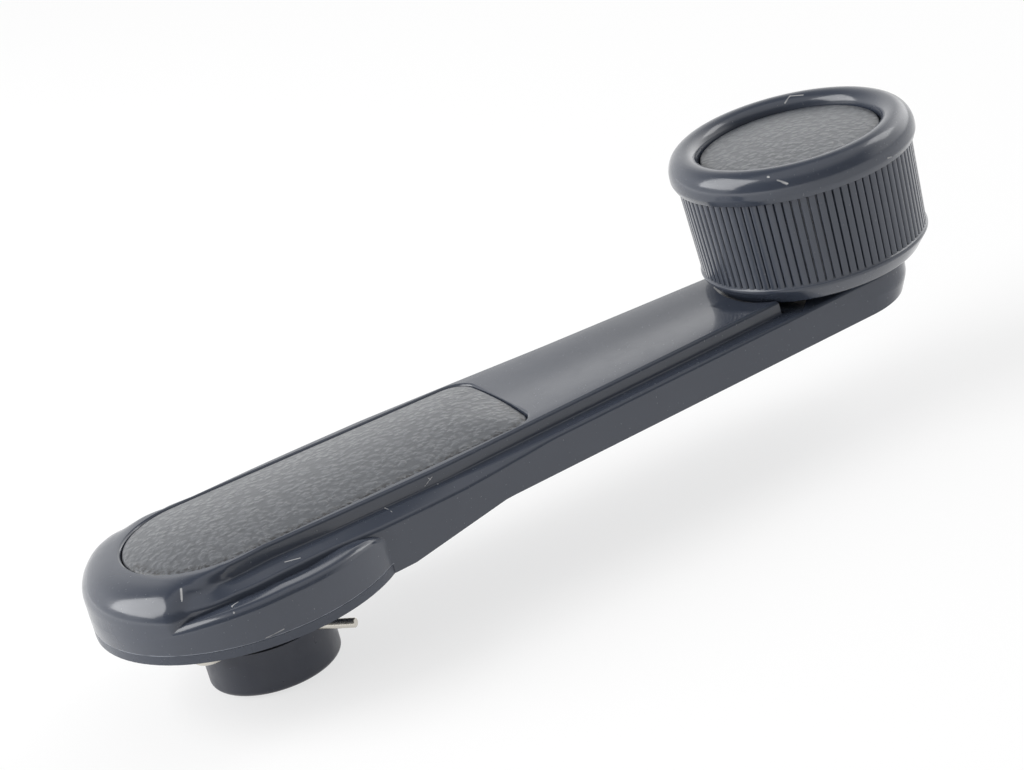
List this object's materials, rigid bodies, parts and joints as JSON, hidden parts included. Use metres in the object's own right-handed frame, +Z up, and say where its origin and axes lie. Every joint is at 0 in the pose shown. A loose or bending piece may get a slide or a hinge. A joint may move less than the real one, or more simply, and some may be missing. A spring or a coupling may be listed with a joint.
{
  "type": "window crank handle",
  "caption": "Window crank handle: tapered moulded arm with a grained insert, round hub with splined socket and wire clip, and a turning ribbed knob.",
  "frame": {"origin": "centre of the boss's end face, at the mouth of the splined socket, on the hub axis", "axes": "+Z up the hub axis, out of the door and towards the knob's top; +X along the arm to the knob; the arm is symmetric across the XZ plane"},
  "size_m": [0.1486, 0.048, 0.0461],
  "materials": {
    "moulding": "glossy slate-grey moulding, lightly scratched",
    "dark_moulding": "darker moulding, satin",
    "boss_moulding": "near-black moulding, satin",
    "grained_insert": "leather-grained vinyl, dull",
    "bright_wire": "bright spring wire",
    "spring_steel": "blued spring steel",
    "steel": "turned and pressed steel",
    "zinc_steel": "zinc-plated steel",
    "black_screws": "black-oxide steel",
    "cast_zinc": "die-cast zinc, dull",
    "pale_plastic": "natural acetal"
  },
  "bodies": {
    "crank": {"arm_shell": "moulding", "arm_insert": "grained_insert", "insert_clips": "spring_steel", "arm_core": "steel", "core_screws": "zinc_steel", "back_cover": "dark_moulding", "cover_screws": "black_screws", "hub_boss": "boss_moulding", "spline_bush": "cast_zinc", "knob_spindle": "steel", "thrust_washer": "pale_plastic", "spring_washer": "spring_steel", "retaining_washer": "zinc_steel", "circlip": "spring_steel"},
    "knob": {"knob_bush": "pale_plastic", "knob_body": "moulding", "knob_cap": "moulding", "knob_insert": "grained_insert"},
    "clip": {"retaining_clip": "bright_wire"}
  },
  "joints": [
    {"name": "knob_spin", "type": "hinge", "parent": "crank", "child": "knob", "pos_m": [0.105, 0, 0.0236], "axis": [0, 0, 1], "continuous": true},
    {"name": "clip_release", "type": "slide", "parent": "crank", "child": "clip", "axis": [-1, 0, 0], "range_m": [0, 0.006]}
  ]
}
